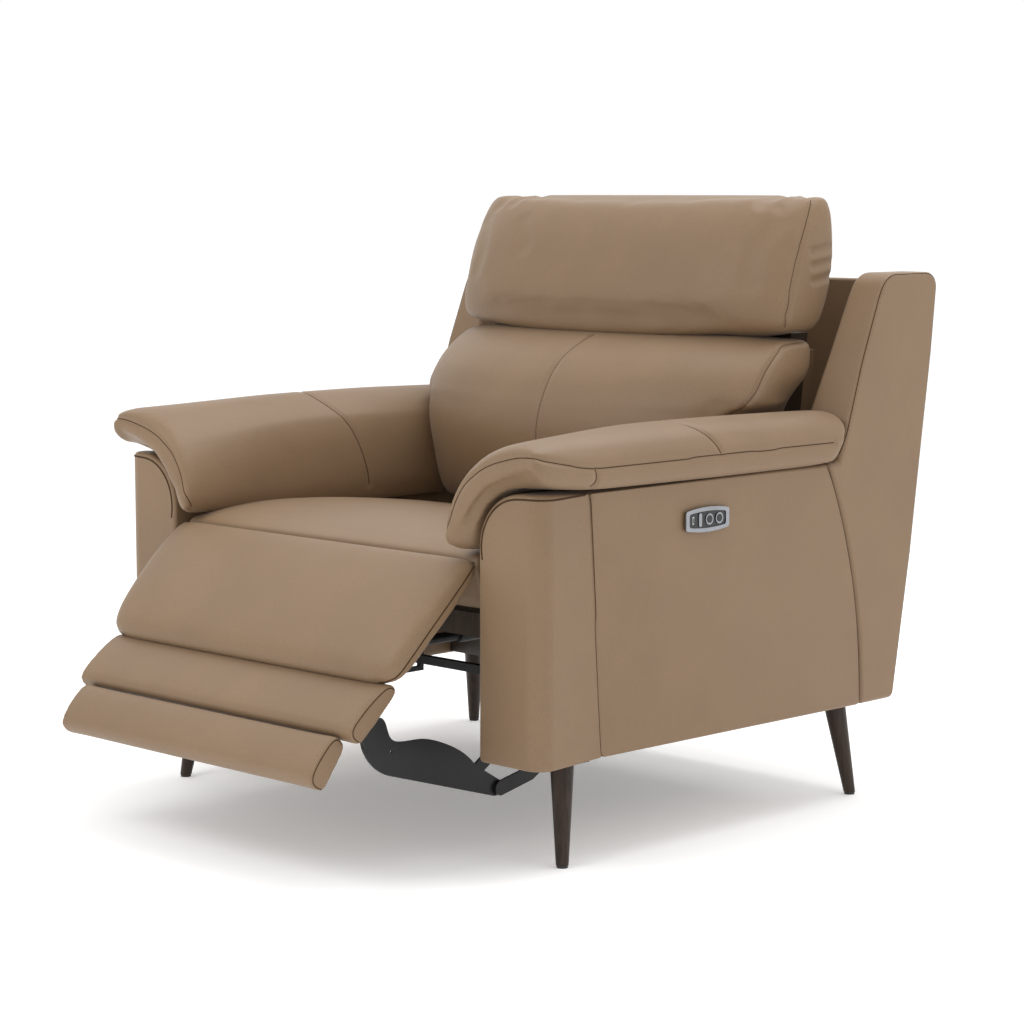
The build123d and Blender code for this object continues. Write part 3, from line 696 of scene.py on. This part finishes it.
plump(right_pad, pad_free, voxel=0.0055, cap=0.008, relax=4)
fascia_seam = [place(313, -452, 500), place(322, -466, 529), place(333, -470, 561), place(358, -470, 595),
               place(404, -470, 623), place(464, -470, 639), place(498, -468, 642), place(514, -452, 639),
               place(518, -415, 632), place(518, -372, 623), place(518, -343, 619)]
band_seam = [place(518, y, 620) for y in (-343, -250, -120, 0, 120, 236)]
kink_seam = [place(518, -343, 619), place(518, -341, 600), place(517, -350, 587)]
cross_seam = [place(517, -50, 622), place(505, -62, 645), place(470, -85, 664), place(435, -101, 669),
              place(400, -95, 662), place(374, -78, 640), place(356, -52, 600), place(348, -32, 550),
              place(347, -20, 505)]
press(right_pad, [fascia_seam, band_seam, kink_seam, cross_seam], reach=0.009, depth=0.0028)
pad_lines = sew("right_arm_pad_seams", right_pad, [fascia_seam, band_seam], rows=(-0.007,), welt=0.0009)
cross_lines = sew("right_arm_pad_cross_seams", right_pad, [cross_seam, kink_seam], rows=(0.0045,), welt=0.0009)
left_pad = mirrored(right_pad, "left_arm_pad_cover")
for side, pad in (("right", right_pad), ("left", left_pad)):
    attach(pad, "base")
    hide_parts(f"{side}_arm_pad")
for lines in (pad_lines, cross_lines):
    twin = mirrored(lines, lines.name.replace("right", "left"))
    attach(lines, "base")
    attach(twin, "base")


# ---- seat carriage -------------------------------------------------------------------------------
# A timber frame with elastic webbing on top, hung on steel runners that slide in channels inside
# the arm boxes.  None of it shows unless the chair is seen from below or behind.
zinc, zinc_tree, zinc_surface = new_material("zinc_steel", metallic=0.9)
use_group(zinc_tree, zinc_surface, coat_texture, Tint=(0.42, 0.43, 0.44, 1), Shine=0.22)
webbing, webbing_tree, webbing_surface = new_material("webbing")
use_group(webbing_tree, webbing_surface, coat_texture, Tint=(0.035, 0.034, 0.032, 1), Shine=0.7)
weave = add_node(webbing_tree, "ShaderNodeTexWave", Scale=240.0, Distortion=0.4)
weave_where = add_node(webbing_tree, "ShaderNodeTexCoord")
webbing_tree.links.new(weave_where.outputs["Object"], weave.inputs["Vector"])
weave_relief = add_node(webbing_tree, "ShaderNodeBump", Strength=0.5, Distance=0.0006)
webbing_tree.links.new(weave.outputs["Fac"], weave_relief.inputs["Height"])
webbing_tree.links.new(weave_relief.outputs["Normal"], webbing_surface.inputs["Normal"])
stained, stained_tree, stained_surface = new_material("stained_timber")
use_group(stained_tree, stained_surface, wood_figure, Light=(0.050, 0.034, 0.022, 1),
          Dark=(0.026, 0.017, 0.011, 1))
for name in ("seat_frame", "cross_rails"):
    finish_node(name, stained)
finish_node("seat_webbing", webbing)
for name in ("recline_rod", "footrest_rod", "slide_rails", "slide_runners", "recline_bracket",
             "hinge_brackets", "recline_tube", "footrest_tube"):
    finish_node(name, black_steel)
for name in ("recline_motor", "footrest_motor"):
    finish_node(name, nylon)


# ---- seat cushion --------------------------------------------------------------------------------
# One wide foam cushion under a single leather panel, rising a little towards the front, with a
# seam along the front edge where the leg rest's leather begins.
def cross_rings(section, stations):
    """Rings of one side section at several distances across, each drawn in by its own amounts."""
    middle_y = sum(y for y, _ in section) / len(section)
    middle_z = sum(z for _, z in section) / len(section)
    rings = []
    for x, trim, drop in stations:
        ring = []
        for y, z in section:
            ring.append(place(x, y + (middle_y - y) * trim, z + (middle_z - z) * trim * 1.5
                              - (drop if z > middle_z else 0)))
        rings.append(ring)
    return rings


seat_section = [(-443, 468), (-441, 476), (-425, 483), (-380, 491), (-300, 498), (-180, 496), (-60, 485),
                (60, 470), (150, 458), (184, 452), (190, 430), (186, 392), (60, 389), (-180, 389),
                (-380, 389), (-418, 392), (-424, 420), (-434, 452)]
seat_stations = [(-355, 0.01, 3), (-352, 0.0, 1), (-340, 0, 0), (-250, 0, 0), (-120, 0, 0), (0, 0, 0),
                 (120, 0, 0), (250, 0, 0), (340, 0, 0), (352, 0.0, 1), (355, 0.01, 3)]
seat_cover = new_piece("seat_cover", loft(cross_rings(seat_section, seat_stations)), leather)


def seat_free(co):
    z, x = co.z * 1000, abs(co.x) * 1000
    if z < 445:
        return 0.0
    return 0.5 * min(1.0, (z - 445) / 25) * min(1.0, max(0.0, (350 - x) / 60) + 0.1)


plump(seat_cover, seat_free, voxel=0.0075, cap=0.007, relax=3)
seat_seam = [place(x, -443.5, 472) for x in (-350, -300, -150, 0, 150, 300, 350)]
press(seat_cover, [seat_seam], reach=0.010, depth=0.0025)
seat_lines = sew("seat_front_seam", seat_cover, [seat_seam], rows=(-0.007,), welt=0.0010)
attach(seat_lines, "seat")
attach(seat_cover, "seat")
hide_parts("seat_cushion")


# ---- leg rest ------------------------------------------------------------------------------------
# Three padded boards that fold under the seat: a deep one hinged at the seat's front edge, and two
# narrow ones below it that overlap like slats.  Each is foam on plywood in its own leather cover
# with a boxed and double stitched end.
def slope_points(origin, slope, points):
    angle = math.radians(slope)
    return [(origin[0] - s * math.cos(angle) - n * math.sin(angle),
             origin[1] - s * math.sin(angle) + n * math.cos(angle)) for s, n in points]


def panel_rings(origin, slope, points, half, middle, ends, taper=0.0):
    """Rings across a leg rest panel, its lower corners drawn in and its sides closer at the foot."""
    rings = []
    stations = [(-half + x, trim, thin) for x, trim, thin in ends] + [(-half / 2, 0, 0), (0, 0, 0)]
    stations += [(half / 2, 0, 0)] + [(half - x, trim, thin) for x, trim, thin in reversed(ends)]
    for x, trim, thin in stations:
        trimmed = [(s + (middle[0] - s) * (trim if s > middle[0] else trim * 0.3),
                    n + (middle[1] - n) * thin) for s, n in points]
        rings.append([place(x * (1 - taper * max(0.0, s - 40) / 190), y, z)
                      for (s, _), (y, z) in zip(trimmed, slope_points(origin, slope, trimmed))])
    return rings


leg_section = [(-10, 11), (-11, 21), (-4, 29), (28, 36), (80, 42), (140, 43), (190, 40), (220, 34),
               (235, 25), (238, 14), (234, 3), (222, -3), (120, -4), (10, -4), (-3, 2)]
leg_cover = new_piece("leg_panel_cover",
                      loft(panel_rings((-430, 455), 45, leg_section, 358, (110, 8),
                                       ((0, 0.26, 0.34), (4, 0.15, 0.2), (12, 0.07, 0.12), (34, 0.01, 0.04),
                                        (80, 0, 0)), taper=0.03)),
                      leather)


def front_free(co):
    return 0.5 if abs(co.x) < 0.34 else 0.15


plump(leg_cover, front_free, voxel=0.0055, cap=0.005, relax=3)
leg_lines = sew("leg_panel_seams", leg_cover,
                [[place(side * x, *slope_points((-430, 455), 45, [(s, n)])[0]) for x, s, n in
                  ((355, 2, 16), (356, 60, 16), (353, 120, 16), (349, 180, 15), (343, 206, 14), (332, 223, 13),
                   (312, 233, 12))]
                 for side in (-1, 1)], rows=(), welt=0.0014)
for cover in (leg_cover, leg_lines):
    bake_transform(cover)
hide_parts("leg_panel_cushion", "leg_panel_board")

slats = {"middle_panel": ((-583, 286), 39.5, 334, (52, 11),
                          [(-1, 6), (3, -1), (50, -3), (95, -5), (103, -2), (107, 8), (106, 19), (98, 25),
                           (60, 27), (25, 24), (4, 19), (-1, 13)]),
         "toe_panel": ((-666, 212), 49.6, 309, (38, 12),
                       [(-1, 7), (4, 0), (36, -2), (68, -5), (76, -2), (80, 9), (79, 21), (70, 28),
                        (42, 31), (14, 29), (-1, 24), (-3, 15)])}
for name, (origin, slope, half, middle, section) in slats.items():
    full = [(middle[0] + (s - middle[0]) * 1.04, middle[1] + (n - middle[1]) * 1.16) for s, n in section]
    slat = new_piece(f"{name}_cover", loft(panel_rings(origin, slope, full, half + 1.5, middle,
                                                         ((0, 0.012, 0.03), (1.2, 0, 0), (12, 0, 0)))),
                     leather)
    plump(slat, lambda co: 0.5, voxel=0.004, cap=0.0025, relax=1)
    around = [(s + (middle[0] - s) * 0.03, n + (middle[1] - n) * 0.08) for s, n in section[4:] + section[:1]]
    hoops = [[place(side * half, *p) for p in slope_points(origin, slope, around)] for side in (-1, 1)]
    slat_lines = sew(f"{name}_seams", slat, hoops, rows=(), welt=0.0010)
    inside = [[place(side * (half - 7), *p) for p in slope_points(origin, slope, section[5:] + section[:1])]
              for side in (-1, 1)]
    inside_lines = sew(f"{name}_topstitch", slat, inside, rows=(0.0,), welt=0.00025)
    for cover in (slat, slat_lines, inside_lines):
        if name == "middle_panel":
            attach(cover, name)
        else:
            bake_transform(cover)
    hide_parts(f"{name}_cushion", f"{name}_board")


# ---- leg rest linkage ----------------------------------------------------------------------------
# Flat links pressed from steel plate and powder coated black, pinned together on each side and
# tied by a square cross bar.
for name in ("left_crank", "right_crank", "left_front_link", "right_front_link", "left_swing_arm",
             "right_swing_arm", "cross_bar", "left_side_plate", "right_side_plate", "middle_panel_lugs"):
    finish_node(name, black_steel)
    edge = nodes[name].modifiers.new("pressed_edge", "BEVEL")
    edge.width = 0.0007
    edge.segments = 2
    edge.limit_method = "ANGLE"
    edge.angle_limit = math.radians(40)


# ---- lower back cushion --------------------------------------------------------------------------
# A deep foam and fibre cushion that bows forward in the middle.  It is narrow between the arm pads
# and widens above them, with a seam down the middle and wedge shaped side panels.
across_shares = (-1.0, -0.965, -0.85, -0.62, -0.33, 0.0, 0.33, 0.62, 0.85, 0.965, 1.0)


def plan_ring(z, half, middle, side, rear, sag=0.0, bow=3.4, narrow=0.0, swell=3):
    """A level ring round a back cushion: bowed front, flat sides and a straight, maybe narrower rear."""
    ring = []
    for u in across_shares:
        front = middle + (side - middle) * abs(u) ** bow
        ring.append(place(u * half, front, z - sag * (1 - u * u)))
    between = (side + rear) / 2
    behind = half - narrow
    ring.append(place(half + swell - narrow * 0.1, between, z))
    ring.append(place(behind, rear - 2, z))
    for u in (0.95, 0.5, 0.0, -0.5, -0.95):
        ring.append(place(u * behind, rear, z))
    ring.append(place(-behind, rear - 2, z))
    ring.append(place(-half - swell + narrow * 0.1, between, z))
    return ring


lumbar_rings = [plan_ring(*row) for row in (
    (464, 325, 165, 180, 258), (470, 338, 130, 162, 272), (500, 344, 98, 150, 295),
    (540, 345, 74, 141, 300), (580, 345, 59, 132, 306), (613, 346, 55, 126, 310),
    (640, 350, 60, 128, 314), (662, 354, 68, 138, 320), (670, 384, 72, 160, 326, 0, 4.0, 36),
    (677, 394, 76, 174, 330, 0, 4.0, 46), (702, 394, 89, 192, 332, 0, 4.2, 26),
    (716, 393, 99, 200, 333, 0, 4.4, 6),
    (733, 393, 117, 213, 336, 0, 4.4), (752, 392, 144, 234, 339, 0, 4.4),
    (766, 390, 177, 252, 340, 0, 4.4), (778, 386, 210, 268, 340, 0, 4.4), (785, 375, 246, 284, 334))]
lumbar_cover = new_piece("lumbar_cover", loft(lumbar_rings), leather)


def back_free(co):
    """The front and sides may swell; the rear is held by the frame."""
    line = 0.317 + 0.09785 + (co.z - 0.65) * 0.131
    share = min(1.0, max(0.0, (line - 0.02 - co.y) / 0.06))
    if co.z < 0.68 and abs(co.x) > 0.335:
        return 0.0
    return 0.8 * share


plump(lumbar_cover, back_free, voxel=0.0065, cap=0.010, relax=3)
middle_seam = [place(0, y, z) for y, z in ((205, 773), (143, 752), (117, 730), (92, 705), (77, 671),
                                           (67, 637), (57, 613), (61, 580), (76, 540), (100, 500))]
side_seams = [[place(side * x, y, z) for x, y, z in
               ((350, 150, 655), (374, 168, 676), (384, 190, 700), (387, 207, 727), (387, 227, 748),
                (386, 246, 766), (383, 268, 780), (382, 322, 782))] for side in (-1, 1)]
press(lumbar_cover, [middle_seam] + side_seams, reach=0.010, depth=0.0028)
lumbar_lines = sew("lumbar_seams", lumbar_cover, [middle_seam] + side_seams, rows=(-0.005, 0.005))
for cover in (lumbar_cover, lumbar_lines):
    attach(cover, "back")
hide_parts("lumbar_cushion")


# ---- headrest ------------------------------------------------------------------------------------
# A softer cushion on a curved steel track, over a plywood board.  Its lower edge sags over the
# cushion below and the fibre filling leaves shallow dents and puckers along its ends.
headrest_rings = [plan_ring(*row) for row in (
    (792, 370, 222, 285, 346, 22, 5), (797, 386, 203, 266, 353, 23, 5), (810, 393, 198, 262, 359, 18, 5.5),
    (828, 396, 203, 262, 367, 8, 6), (872, 398, 219, 270, 382, 0, 6), (917, 398, 236, 284, 388, 0, 6),
    (950, 396, 250, 296, 389, 0, 6), (980, 394, 268, 310, 388, 0, 6), (1006, 390, 290, 324, 386, 0, 5),
    (1021, 384, 311, 334, 382, 0, 5), (1029, 370, 334, 348, 372, 0))]
headrest_cover = new_piece("headrest_cover", loft(headrest_rings), leather)


def headrest_free(co):
    return 0.85 * min(1.0, max(0.0, (0.475 - co.y) / 0.05))


plump(headrest_cover, headrest_free, voxel=0.006, cap=0.011, relax=3)
puckers = [[place(side * 397, 322, z + 1), place(side * 399, 345, z + 4), place(side * 394, 372, z + 8)]
           for side in (-1, 1) for z in (880, 905, 930)]
press(headrest_cover, puckers, reach=0.012, depth=0.004)
top_dips = [[place(x, 300, 1012), place(x + 8, 330, 1026), place(x + 4, 365, 1020)]
            for x in (-330, -290, 305, 345)]
press(headrest_cover, top_dips, reach=0.026, depth=0.004)
front_dents = [[place(-352, 275, 985), place(-330, 250, 930), place(-335, 238, 890)],
               [place(352, 280, 985), place(322, 255, 930), place(330, 240, 880)],
               [place(-230, 262, 975), place(-205, 236, 935)]]
press(headrest_cover, front_dents, reach=0.03, depth=0.0025)
headrest_seams = [[place(side * x, y, z) for x, y, z in
                   ((376, 342, 1024), (388, 326, 1004), (393, 311, 980), (395, 298, 950), (397, 286, 917),
                    (397, 272, 872), (395, 264, 828), (392, 264, 810), (382, 268, 797))]
                  for side in (-1, 1)]
press(headrest_cover, headrest_seams, reach=0.010, depth=0.003)
headrest_lines = sew("headrest_seams", headrest_cover, headrest_seams, rows=(-0.005, 0.005))
for cover in (headrest_cover, headrest_lines):
    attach(cover, "headrest")
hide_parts("headrest_cushion")
finish_node("headrest_board", timber)
finish_node("back_frame", stained)
finish_node("back_cover", leather)
for name in ("headrest_tracks",):
    finish_node(name, zinc)
for name in ("back_hinge_ears", "track_guides"):
    finish_node(name, black_steel)


# ---- control -------------------------------------------------------------------------------------
# A moulded control let into the arm: chrome plated bezel, black glossy plate, a charging socket, a
# slim home key and two round keys with chrome rims.
chrome, chrome_tree, chrome_surface = new_material("chrome", metallic=1.0)
use_group(chrome_tree, chrome_surface, coat_texture, Tint=(0.30, 0.31, 0.33, 1), Shine=0.0)
gloss_black, gloss_tree, gloss_surface = new_material("gloss_black")
use_group(gloss_tree, gloss_surface, coat_texture, Tint=(0.012, 0.012, 0.013, 1), Shine=0.1)
for name in ("switch_bezel", "home_button", "recline_button", "return_button"):
    finish_node(name, chrome)
    edge = nodes[name].modifiers.new("moulded_edge", "BEVEL")
    edge.width = 0.0012
    edge.segments = 3
    edge.limit_method = "ANGLE"
    edge.angle_limit = math.radians(40)
finish_node("switch_plate", gloss_black)
finish_node("charging_socket", zinc)
for name, body in (("recline_button", "recline_key"), ("return_button", "return_key")):
    lo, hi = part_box(name)
    cap = bmesh.new()
    upright = Matrix.Translation(Vector((hi.x, (lo.y + hi.y) / 2, (lo.z + hi.z) / 2))) @ \
        Matrix.Rotation(math.radians(90), 4, "Y")
    disc = bmesh.ops.create_circle(cap, cap_ends=True, segments=32, radius=0.0062, matrix=upright)
    raised = bmesh.ops.extrude_face_region(cap, geom=cap.faces[:])
    bmesh.ops.translate(cap, vec=(0.0005, 0, 0),
                        verts=[g for g in raised["geom"] if isinstance(g, bmesh.types.BMVert)])
    bmesh.ops.recalc_face_normals(cap, faces=cap.faces)
    key_cap = new_piece(f"{name}_cap", cap, gloss_black)
    even_normals(key_cap)
    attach(key_cap, body)
